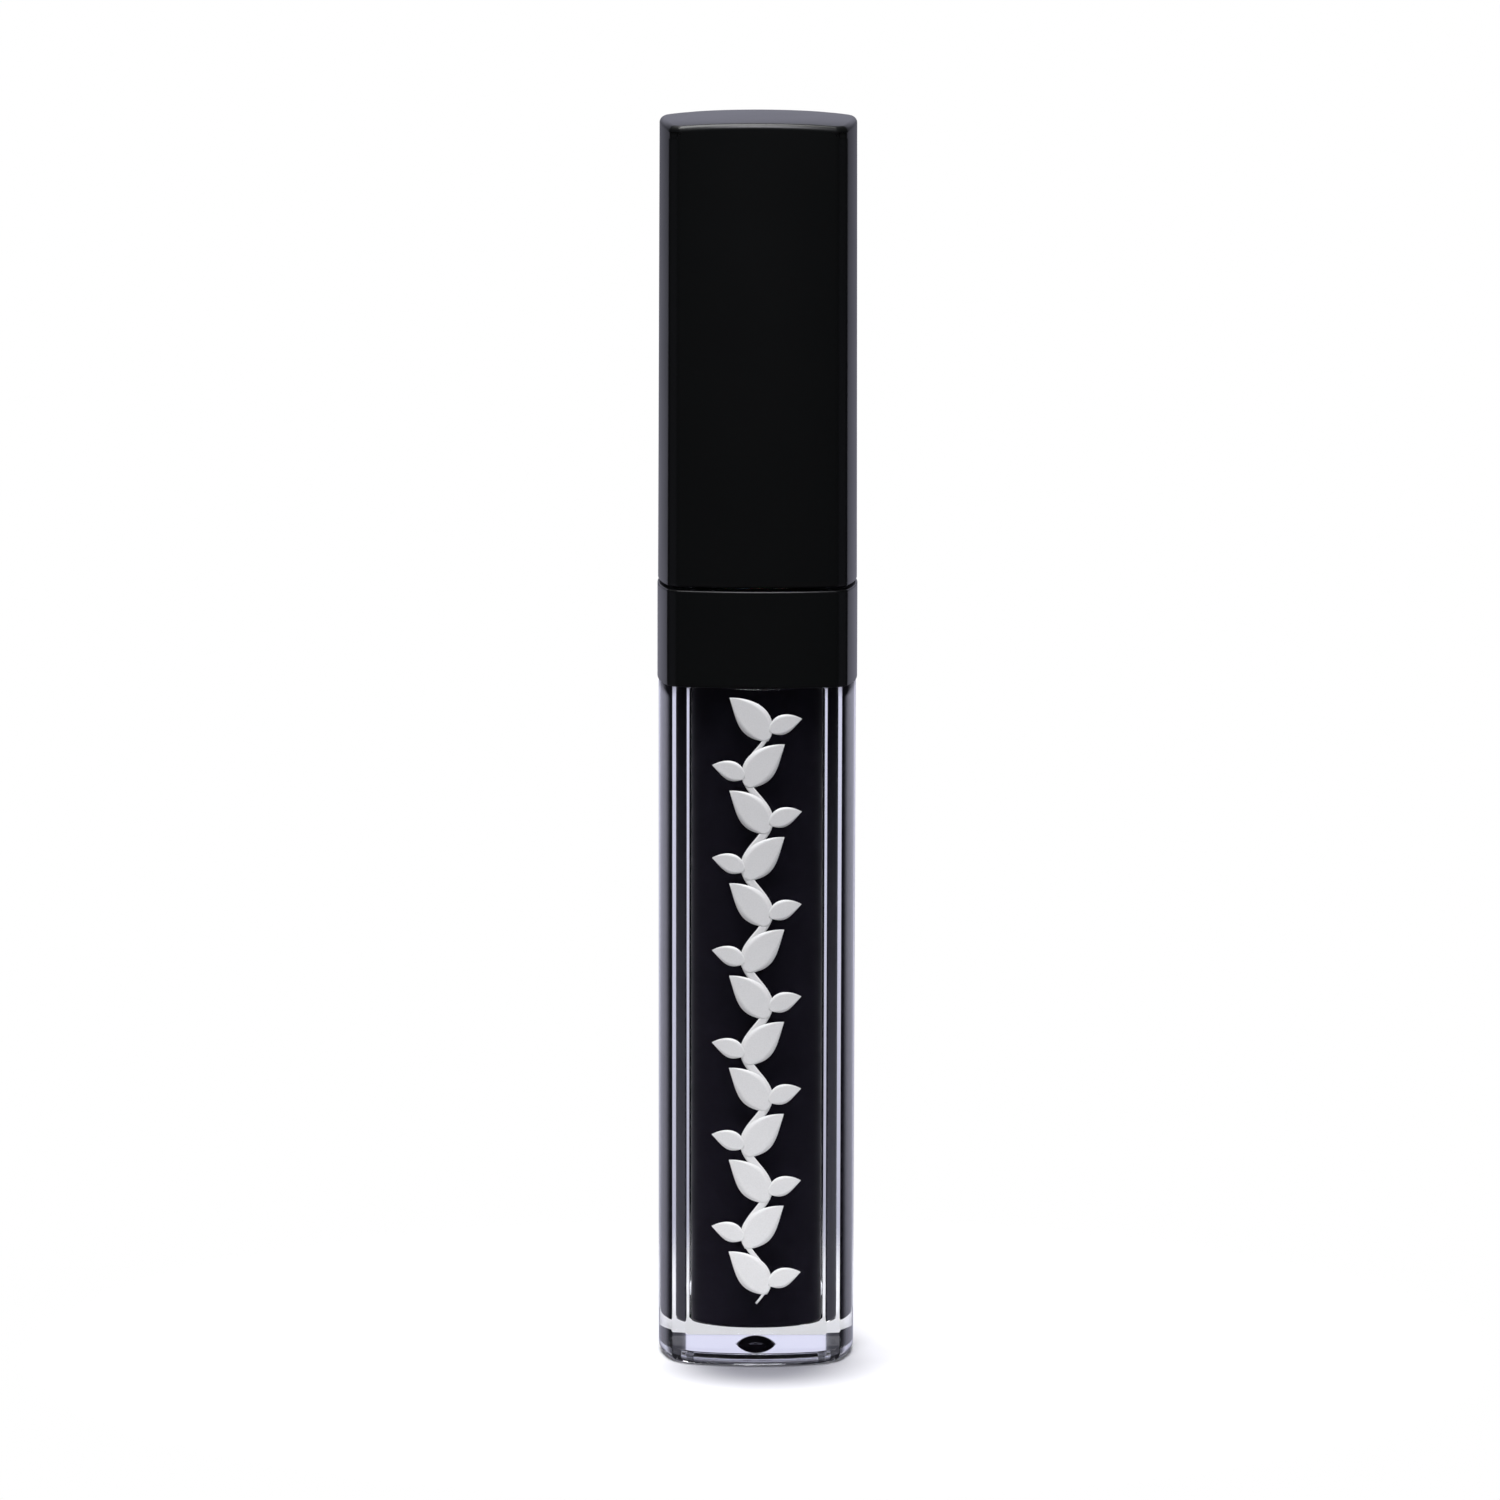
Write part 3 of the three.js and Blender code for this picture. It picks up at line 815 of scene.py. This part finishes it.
def buildSprig():
    # a plain leafy sprig in place of any lettering
    parts = []
    span = sprig["top"] - sprig["bottom"]
    steps = sprig["stemSteps"]
    heights = [sprig["bottom"] + span * i / steps for i in range(steps + 1)]
    stem = [(stemSwing(z), z) for z in heights]
    tapers = [min(1, 0.25 + 4 * min(i, steps - i) / steps) for i in range(steps + 1)]
    parts.append(inkStrip(stem, [sprig["stemHalfWidth"] * taper for taper in tapers], 4))
    swings = int(span / (sprig["wave"] / 2))
    for k in range(swings):
        z = sprig["bottom"] + sprig["wave"] * (0.25 + 0.5 * k)
        side = 1 if k % 2 == 0 else -1
        x = stemSwing(z)
        up = math.radians(sprig["leafRise"])
        angle = up if side < 0 else math.pi - up
        length, halfWidth = sprig["leafLength"], sprig["leafHalfWidth"]
        parts.append(leafStrip(x - side * 0.1, z - 1.2, angle, length, halfWidth, 1 + k % 2))
        low = math.radians(sprig["leafletRise"])
        outward = low if side > 0 else math.pi - low
        parts.append(leafStrip(x, z - 0.4, outward, length * sprig["leafletSize"], halfWidth * 0.62, 3))
    points, faces = [], []
    for partPoints, partFaces in parts:
        start = len(points)
        points += partPoints
        faces += [tuple(start + k for k in f) for f in partFaces]
    piece = addMesh("front_sprig_print", points, faces)
    piece.data.materials.append(inkWhite)
    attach(piece, "bottle_side")
    return piece


print("ornament:", buildSprig().name)

# ---- pieces inside the neck and the cap


def finish(piece, material, body, node):
    piece.data.materials.append(material)
    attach(piece, body)
    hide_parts(node)
    return piece


wiperBody = {"lip": 2.32, "throat": 2.85, "throatWall": 0.6, "mouth": 4.05, "flange": 0.77}


def buildWiper():
    low, high = wiperLow.z, wiperHigh.z
    seat = high - wiperBody["flange"]
    sleeve, shoulder = boreRadius(high) - 0.08, low + 6.3
    throat, wall = wiperBody["throat"], wiperBody["throatWall"]
    outline = [
        (wiperBody["lip"], low),
        (throat + wall - 0.25, low),
        (throat + wall, low + wall),
        (throat + wall, shoulder - 2.4),
        (sleeve - 0.35, shoulder - 0.7),
        (sleeve, shoulder),
        (sleeve, seat),
        (wiperHigh.x, seat),
        (wiperHigh.x, high),
        (wiperBody["mouth"] + 0.2, high),
        (wiperBody["mouth"], high - 0.25),
        (wiperBody["mouth"], shoulder),
        (throat, shoulder - 2.2),
        (throat, low + 1.3),
        (wiperBody["lip"], low + 0.4),
    ]
    return finish(lathe("wiper_insert", outline), milkyPe, "bottle_side", "wiper")


buildWiper()


def buildSeal():
    inner, outer, low, high = 4.25, sealHigh.x, sealLow.z, sealHigh.z
    outline = [(inner, low), (outer, low), (outer, high), (inner, high)]
    ring = lathe("seal_washer", outline, radius=0.18)
    return finish(ring, sealRubber, "seal", "seal_ring")


buildSeal()

rodBody = {"radius": 2.1, "socket": 0.95, "socketDepth": 6.2, "barb": 2.3}


def buildRod():
    low, high, radius = rodLow.z, rodHigh.z, rodBody["radius"]
    under = sealHigh.z  # the flange's upper face
    outline = [
        (0, low + rodBody["socketDepth"]),
        (rodBody["socket"], low + rodBody["socketDepth"] - 0.4),
        (rodBody["socket"], low),
        (radius - 0.2, low),
        (radius, low + 0.3),
        (radius, under - 0.85),
        (rodHigh.x, under - 0.85),
        (rodHigh.x, under),
        (radius, under),
    ]
    for rise in (3, 5.5, 8):
        outline += [
            (rodBody["barb"], under + rise),
            (rodBody["barb"], under + rise + 0.3),
            (radius, under + rise + 1),
        ]
    outline += [(radius, high - 0.25), (radius - 0.25, high), (0, high)]
    rod = lathe("wand_stem", outline, radius=0.1)
    return finish(rod, blackPp, "wand", "wand_rod")


buildRod()

linerBody = {
    "bore": 6.74,
    "skirtRadius": 7.35,
    "bossRadius": 3.5,
    "bossBore": 2.45,
    "ceilingThickness": 1.3,
    "threadRidge": 0.34,
    "threadTurns": 1.25,
    "threadLead": 0.6,  # how much higher it starts than the neck's thread
}


def buildLiner():
    bore, boss, bossBore = (linerBody[k] for k in ("bore", "bossRadius", "bossBore"))
    low, high, outer = linerLow.z, linerHigh.z, linerBody["skirtRadius"]
    ceiling = sealHigh.z + 0.15
    roof = ceiling + linerBody["ceilingThickness"]
    rings = [[(0, 0, high - 1)], roundRing(bossBore - 0.1, high - 1), roundRing(bossBore, high - 1.1)]
    rings += [roundRing(bossBore, ceiling + 0.1), roundRing(bossBore + 0.1, ceiling)]
    rings += [roundRing(bore - 0.1, ceiling), roundRing(bore, ceiling - 0.1)]
    start = bottleBody["threadBottom"] + linerBody["threadLead"]
    highest = start + linerBody["threadTurns"] * bottleBody["threadPitch"] + 0.8
    layers = 56
    for i in range(layers + 1):
        height = highest - (highest - start + 0.8) * i / layers
        turns, ridge = linerBody["threadTurns"], -linerBody["threadRidge"]
        rings.append(threadedRing(bore, height, start, turns, ridge))
    rings += [roundRing(bore, low + 0.3), roundRing(bore + 0.2, low), roundRing(outer - 0.1, low)]
    rings += [roundRing(outer, low + 0.1), roundRing(outer, roof - 0.1), roundRing(outer - 0.1, roof)]
    rings += [roundRing(boss + 0.1, roof), roundRing(boss, roof + 0.1), roundRing(boss, high - 0.1)]
    rings += [roundRing(boss - 0.1, high), [(0, 0, high)]]
    liner = skin("threaded_liner", rings)
    return finish(liner, blackPp, "cap_side", "inner_cap")


buildLiner()

tipBody = {
    "radius": 1.9,  # of the flocked surface under its fibres
    "slant": 22.0,  # degrees
    "fibreLength": 0.3,
    "fibreHalfWidth": 0.022,
    "fibres": 5200,
}


def tipSection(height):
    # half width across, and how far the slanted face has cut into it, at a height above the tip's end
    r = tipBody["radius"]
    top = tipHigh.z - tipLow.z
    waist = 1 - 0.12 * min(1.0, max(0.0, (height - 8) / (top - 9.5)))
    nose = math.sqrt(max(0.0, 1 - max(0.0, 1 - height / r) ** 2))
    face = 0.34 + height * math.tan(math.radians(tipBody["slant"]))
    return r * waist * nose, face


def tipPoint(height, bearing):
    radius, face = tipSection(height)
    x, y = radius * math.cos(bearing), radius * math.sin(bearing)
    soft = 0.35  # how softly the slant rolls over into the round
    over = x - face
    if over > -soft:
        x = face - soft * math.exp(-(over + soft) / soft)
    return Vector((x, y, tipLow.z + 0.12 + height))


def buildTip():
    top = tipHigh.z - tipLow.z - 0.12
    levels = [top * (i / 60) ** 1.35 for i in range(1, 61)]
    around = 72
    rings = [[tuple(tipPoint(0.0001, 0))]]
    for height in levels:
        rings.append([tuple(tipPoint(height, 2 * math.pi * k / around)) for k in range(around)])
    topRing = rings[-1]
    centre = (0, 0, topRing[0][2])
    rings += [[tuple(Vector(p).lerp(Vector(centre), 0.15)) for p in topRing], [centre]]
    tip = skin("flocked_doe_foot", rings)
    points = [v.co / mm for v in tip.data.vertices]
    faces = [tuple(p.vertices) for p in tip.data.polygons]
    polygons = [p for p in tip.data.polygons if abs(p.normal.z) < 0.98 or p.center.z / mm < tipHigh.z - 1]
    areas = [p.area for p in polygons]
    chosen = random.choices(polygons, weights=areas, k=tipBody["fibres"])
    for polygon in chosen:
        corners = [points[i] for i in polygon.vertices]
        shares = [random.random() + 0.01 for _ in corners]
        base = sum((c * s for c, s in zip(corners, shares)), Vector()) / sum(shares)
        lean = Vector([random.uniform(-0.35, 0.35) for _ in range(3)])
        out = (polygon.normal + lean).normalized()
        length = tipBody["fibreLength"] * random.uniform(0.55, 1.0)
        end = base + out * length
        reach = math.hypot(end.x, end.y)
        if reach > tipHigh.x:
            end.x, end.y = end.x * tipHigh.x / reach, end.y * tipHigh.x / reach
        side = out.orthogonal().normalized() * tipBody["fibreHalfWidth"]
        other = out.cross(side).normalized() * tipBody["fibreHalfWidth"]
        root = base - out * 0.03
        start = len(points)
        points += [root + side, root - side * 0.5 + other * 0.87, root - side * 0.5 - other * 0.87, end]
        faces += [(start, start + 2, start + 1), (start, start + 1, start + 3)]
        faces += [(start + 1, start + 2, start + 3), (start + 2, start, start + 3)]
    bpy.data.objects.remove(tip)
    tip = addMesh("flocked_doe_foot", points, faces)
    return finish(tip, flockFibre, "cap_side", "flocked_tip")


buildTip()
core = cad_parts["applicator_core"]
core.data.materials.clear()
core.data.materials.append(softCore)
print("inner pieces made")

# ---- stage, light and camera

stage = {
    "floorRadius": 0.065,  # metres; it fades out from the fade radius
    "fadeRadius": 0.03,
    "floor": "#EFEFF0",
    "fleck": "#EBEBED",
    "paintedShadeRadius": 7.2,  # millimetres, of the painted shade on the board right under the tube
    # painted shade: a dark colour on the board under the tube, where the tube shades the floor
    "paintedTubeShade": "#26242A",
    "shadow": "#8C8C92",  # painted shadow, where the light hardly reaches the board, close round the foot
    "shadowMiddle": (0.5, -8.5),  # the soft painted shadow lies to the front and a little to the right
    "shadowReach": (12.5, 13.5),
    "shadowCore": 0.15,  # share of its reach before it starts to lighten
    "backdrop": "#E2E2F7",
    "backdropLevel": 1.02,
    "lowLevel": 0.34,  # share of it that is left where the backdrop runs out at its foot
    "footZ": (-0.26, -0.1),
    "highLevel": 0.42,  # share of it in a dimmer belt above the bottle, where it is narrower too
    "highZ": (-0.13, -0.09),
    "beltTopZ": (0.1, 0.16),
    "highNarrowing": 0.07,
    "dark": "#9898A8",
    "darkLevel": 0.045,
    "edgeInner": 0.85,  # cosine from the middle of the lit backdrop where it starts to fade
    "edgeOuter": 0.735,
    "sideLevel": 0.9,  # two narrow cards, level with the tube's sides and below it
    "sideWidth": 0.1,
    "sideZ": (-0.13, -0.19),
}
overhead = {
    "place": (-0.1, 0.05, 0.7),  # metres
    "aim": (0, 0, 0),
    "size": 0.5,
    "watts": 6.0,
    "colour": "#FFFFFF",
}
fill = {
    "place": (0.02, -0.42, 0.62),
    "aim": (0, 0, 0.04),
    "size": 0.35,
    "watts": 4.8,
    "colour": "#F8F8FF",
}


def buildFloor():
    # a disc of pale matt board that fades out into the white of the studio, with a painted shadow round
    # the foot and painted shade under the tube
    steps = 96
    rings = [[(0, 0, 0)]]
    for radius in (stage["paintedShadeRadius"], 15, 30, 45, stage["floorRadius"] / mm):
        turns = [2 * math.pi * i / steps for i in range(steps)]
        rings.append([(radius * math.cos(a), radius * math.sin(a), 0) for a in turns])
    floor = skin("studio_floor", rings)
    material, tree, shader, place = startMaterial("matt_white_board", {"Roughness": 0.9})
    shader.inputs["Specular IOR Level"].default_value = 0.1
    fibre = addNode(tree, "ShaderNodeTexNoise", {"Scale": perMetre(3.0)}, {"Vector": (place, "Object")})
    tint = addNode(tree, "ShaderNodeMix", {"data_type": "RGBA"}, {"Factor": (fibre, "Fac")})
    tint.inputs[6].default_value = hexColour(stage["floor"])
    tint.inputs[7].default_value = hexColour(stage["fleck"])
    away = addNode(tree, "ShaderNodeVectorMath", {"operation": "LENGTH"})
    tree.links.new(place.outputs["Object"], away.inputs[0])
    middle, reach = stage["shadowMiddle"], stage["shadowReach"]
    # painted shadow: an ellipse round the foot where the board's colour darkens towards the shadow colour
    inShadow = addNode(
        tree,
        "ShaderNodeMapping",
        {
            "Location": (-middle[0] / reach[0], -middle[1] / reach[1], 0),
            "Scale": (1 / (reach[0] * mm), 1 / (reach[1] * mm), 0),
        },
        {"Vector": (place, "Object")},
    )
    outward = addNode(tree, "ShaderNodeVectorMath", {"operation": "LENGTH"})
    tree.links.new(inShadow.outputs["Vector"], outward.inputs[0])
    lightness = addNode(
        tree,
        "ShaderNodeMapRange",
        {"interpolation_type": "SMOOTHSTEP", "From Min": stage["shadowCore"], "From Max": 1.0},
        {"Value": (outward, "Value")},
    )
    shaded = addNode(tree, "ShaderNodeMix", {"data_type": "RGBA"}, {"Factor": (lightness, "Result")})
    shaded.inputs[6].default_value = hexColour(stage["shadow"])
    tree.links.new(tint.outputs[2], shaded.inputs[7])
    # painted shade: this mask darkens the board within the shade radius, under the tube
    tubeShadeMask = addNode(
        tree,
        "ShaderNodeMapRange",
        {
            "interpolation_type": "SMOOTHSTEP",
            "From Min": (stage["paintedShadeRadius"] - 1) * mm,
            "From Max": stage["paintedShadeRadius"] * mm,
        },
        {"Value": (away, "Value")},
    )
    board = addNode(tree, "ShaderNodeMix", {"data_type": "RGBA"}, {"Factor": (tubeShadeMask, "Result")})
    board.inputs[6].default_value = hexColour(stage["paintedTubeShade"])
    tree.links.new(shaded.outputs[2], board.inputs[7])
    fade = addNode(
        tree,
        "ShaderNodeMapRange",
        {
            "interpolation_type": "SMOOTHSTEP",
            "From Min": stage["fadeRadius"],
            "From Max": stage["floorRadius"],
            "To Min": 1.0,
            "To Max": 0.0,
        },
        {"Value": (away, "Value")},
    )
    tree.links.new(board.outputs[2], shader.inputs["Base Color"])
    tree.links.new(fade.outputs["Result"], shader.inputs["Alpha"])
    floor.data.materials.append(material)
    floor.visible_glossy = False  # the shells would otherwise mirror the whole floor
    return floor


def buildStudio():
    # a lit white backdrop behind the tube, a narrow card to each side and a dim room everywhere else
    world = bpy.data.worlds.new("studio")
    bpy.context.scene.world = world
    world.use_nodes = True
    tree = world.node_tree
    tree.nodes.clear()
    place = addNode(tree, "ShaderNodeTexCoord")
    parts = addNode(tree, "ShaderNodeSeparateXYZ", links={"Vector": (place, "Generated")})

    white = hexColour(stage["backdrop"])
    room = addNode(
        tree,
        "ShaderNodeBackground",
        {"Color": hexColour(stage["dark"]), "Strength": stage["darkLevel"]},
    )
    card = addNode(tree, "ShaderNodeBackground", {"Color": white, "Strength": stage["sideLevel"]})
    foot = addNode(
        tree,
        "ShaderNodeMapRange",
        {
            "interpolation_type": "SMOOTHSTEP",
            "From Min": stage["footZ"][0],
            "From Max": stage["footZ"][1],
            "To Min": stage["lowLevel"] * stage["backdropLevel"],
            "To Max": stage["backdropLevel"],
        },
        {"Value": (parts, "Z")},
    )
    high = addNode(
        tree,
        "ShaderNodeMapRange",
        {
            "interpolation_type": "SMOOTHSTEP",
            "From Min": stage["highZ"][0],
            "From Max": stage["highZ"][1],
            "To Min": 1.0,
            "To Max": stage["highLevel"],
        },
        {"Value": (parts, "Z")},
    )
    overBelt = addNode(
        tree,
        "ShaderNodeMapRange",
        {
            "interpolation_type": "SMOOTHSTEP",
            "From Min": stage["beltTopZ"][0],
            "From Max": stage["beltTopZ"][1],
        },
        {"Value": (parts, "Z")},
    )
    belt = addNode(
        tree, "ShaderNodeMath", {"operation": "MAXIMUM"}, {0: (high, "Result"), 1: (overBelt, "Result")}
    )
    strength = addNode(
        tree, "ShaderNodeMath", {"operation": "MULTIPLY"}, {0: (foot, "Result"), 1: (belt, "Value")}
    )
    backdrop = addNode(tree, "ShaderNodeBackground", {"Color": white}, {"Strength": (strength, "Value")})
    aside = addNode(tree, "ShaderNodeMath", {"operation": "ABSOLUTE"}, {0: (parts, "Y")})
    level = addNode(
        tree,
        "ShaderNodeMapRange",
        {
            "interpolation_type": "SMOOTHSTEP",
            "From Min": stage["sideWidth"],
            "From Max": stage["sideWidth"] * 0.5,
        },
        {"Value": (aside, "Value")},
    )
    below = addNode(
        tree,
        "ShaderNodeMapRange",
        {
            "interpolation_type": "SMOOTHSTEP",
            "From Min": stage["sideZ"][0],
            "From Max": stage["sideZ"][1],
        },
        {"Value": (parts, "Z")},
    )
    cards = addNode(
        tree, "ShaderNodeMath", {"operation": "MULTIPLY"}, {0: (level, "Result"), 1: (below, "Result")}
    )
    sides = addNode(
        tree, "ShaderNodeMixShader", links={"Fac": (cards, "Value"), 1: (room, 0), 2: (card, 0)}
    )
    narrowing = addNode(
        tree,
        "ShaderNodeMapRange",
        {
            "interpolation_type": "SMOOTHSTEP",
            "From Min": stage["highZ"][0],
            "From Max": stage["highZ"][1],
            "To Max": stage["highNarrowing"],
        },
        {"Value": (parts, "Z")},
    )
    ahead = addNode(
        tree, "ShaderNodeMath", {"operation": "SUBTRACT"}, {0: (parts, "Y"), 1: (narrowing, "Result")}
    )
    lit = addNode(
        tree,
        "ShaderNodeMapRange",
        {
            "interpolation_type": "SMOOTHSTEP",
            "From Min": stage["edgeOuter"],
            "From Max": stage["edgeInner"],
        },
        {"Value": (ahead, "Value")},
    )
    around = addNode(
        tree, "ShaderNodeMixShader", links={"Fac": (lit, "Result"), 1: (sides, 0), 2: (backdrop, 0)}
    )
    ray = addNode(tree, "ShaderNodeLightPath")
    plain = addNode(tree, "ShaderNodeBackground", {"Color": (1, 1, 1, 1), "Strength": 1.0})
    seen = addNode(
        tree,
        "ShaderNodeMixShader",
        links={"Fac": (ray, "Is Camera Ray"), 1: (around, 0), 2: (plain, 0)},
    )
    addNode(tree, "ShaderNodeOutputWorld", links={"Surface": (seen, 0)})


def addSoftbox(name, box):
    light = bpy.data.lights.new(name, "AREA")
    light.shape = "SQUARE"
    light.size = box["size"]
    light.energy = box["watts"]
    light.color = hexColour(box["colour"])[:3]
    lamp = bpy.data.objects.new(name, light)
    lamp.location = box["place"]
    beam = Vector(box["aim"]) - Vector(box["place"])
    lamp.rotation_euler = beam.to_track_quat("-Z", "Y").to_euler()
    bpy.context.scene.collection.objects.link(lamp)
    return lamp


cameraSetup = {
    "distance": 0.850,  # metres from the aim point
    "pitch": 7.74,  # degrees below level
    "aim": 0.0525,  # height of the aim point
    "lens": 236.6,
    "roll": 0.12,  # the tube leans very slightly to the right
    "shiftX": -0.0066,
}


def buildCamera():
    data = bpy.data.cameras.new("camera")
    data.lens = cameraSetup["lens"]
    data.sensor_width = 36.0
    data.shift_x = cameraSetup["shiftX"]
    data.clip_start, data.clip_end = 0.01, 50.0
    camera = bpy.data.objects.new("camera", data)
    pitch = math.radians(cameraSetup["pitch"])
    distance = cameraSetup["distance"]
    camera.location = (0, -distance * math.cos(pitch), cameraSetup["aim"] + distance * math.sin(pitch))
    camera.rotation_euler = (math.pi / 2 - pitch, -math.radians(cameraSetup["roll"]), 0)
    bpy.context.scene.collection.objects.link(camera)
    bpy.context.scene.camera = camera


buildFloor()
buildStudio()
addSoftbox("overhead", overhead)
addSoftbox("fill", fill)
buildCamera()
bpy.context.scene.view_settings.view_transform = "Standard"
print("studio ready")
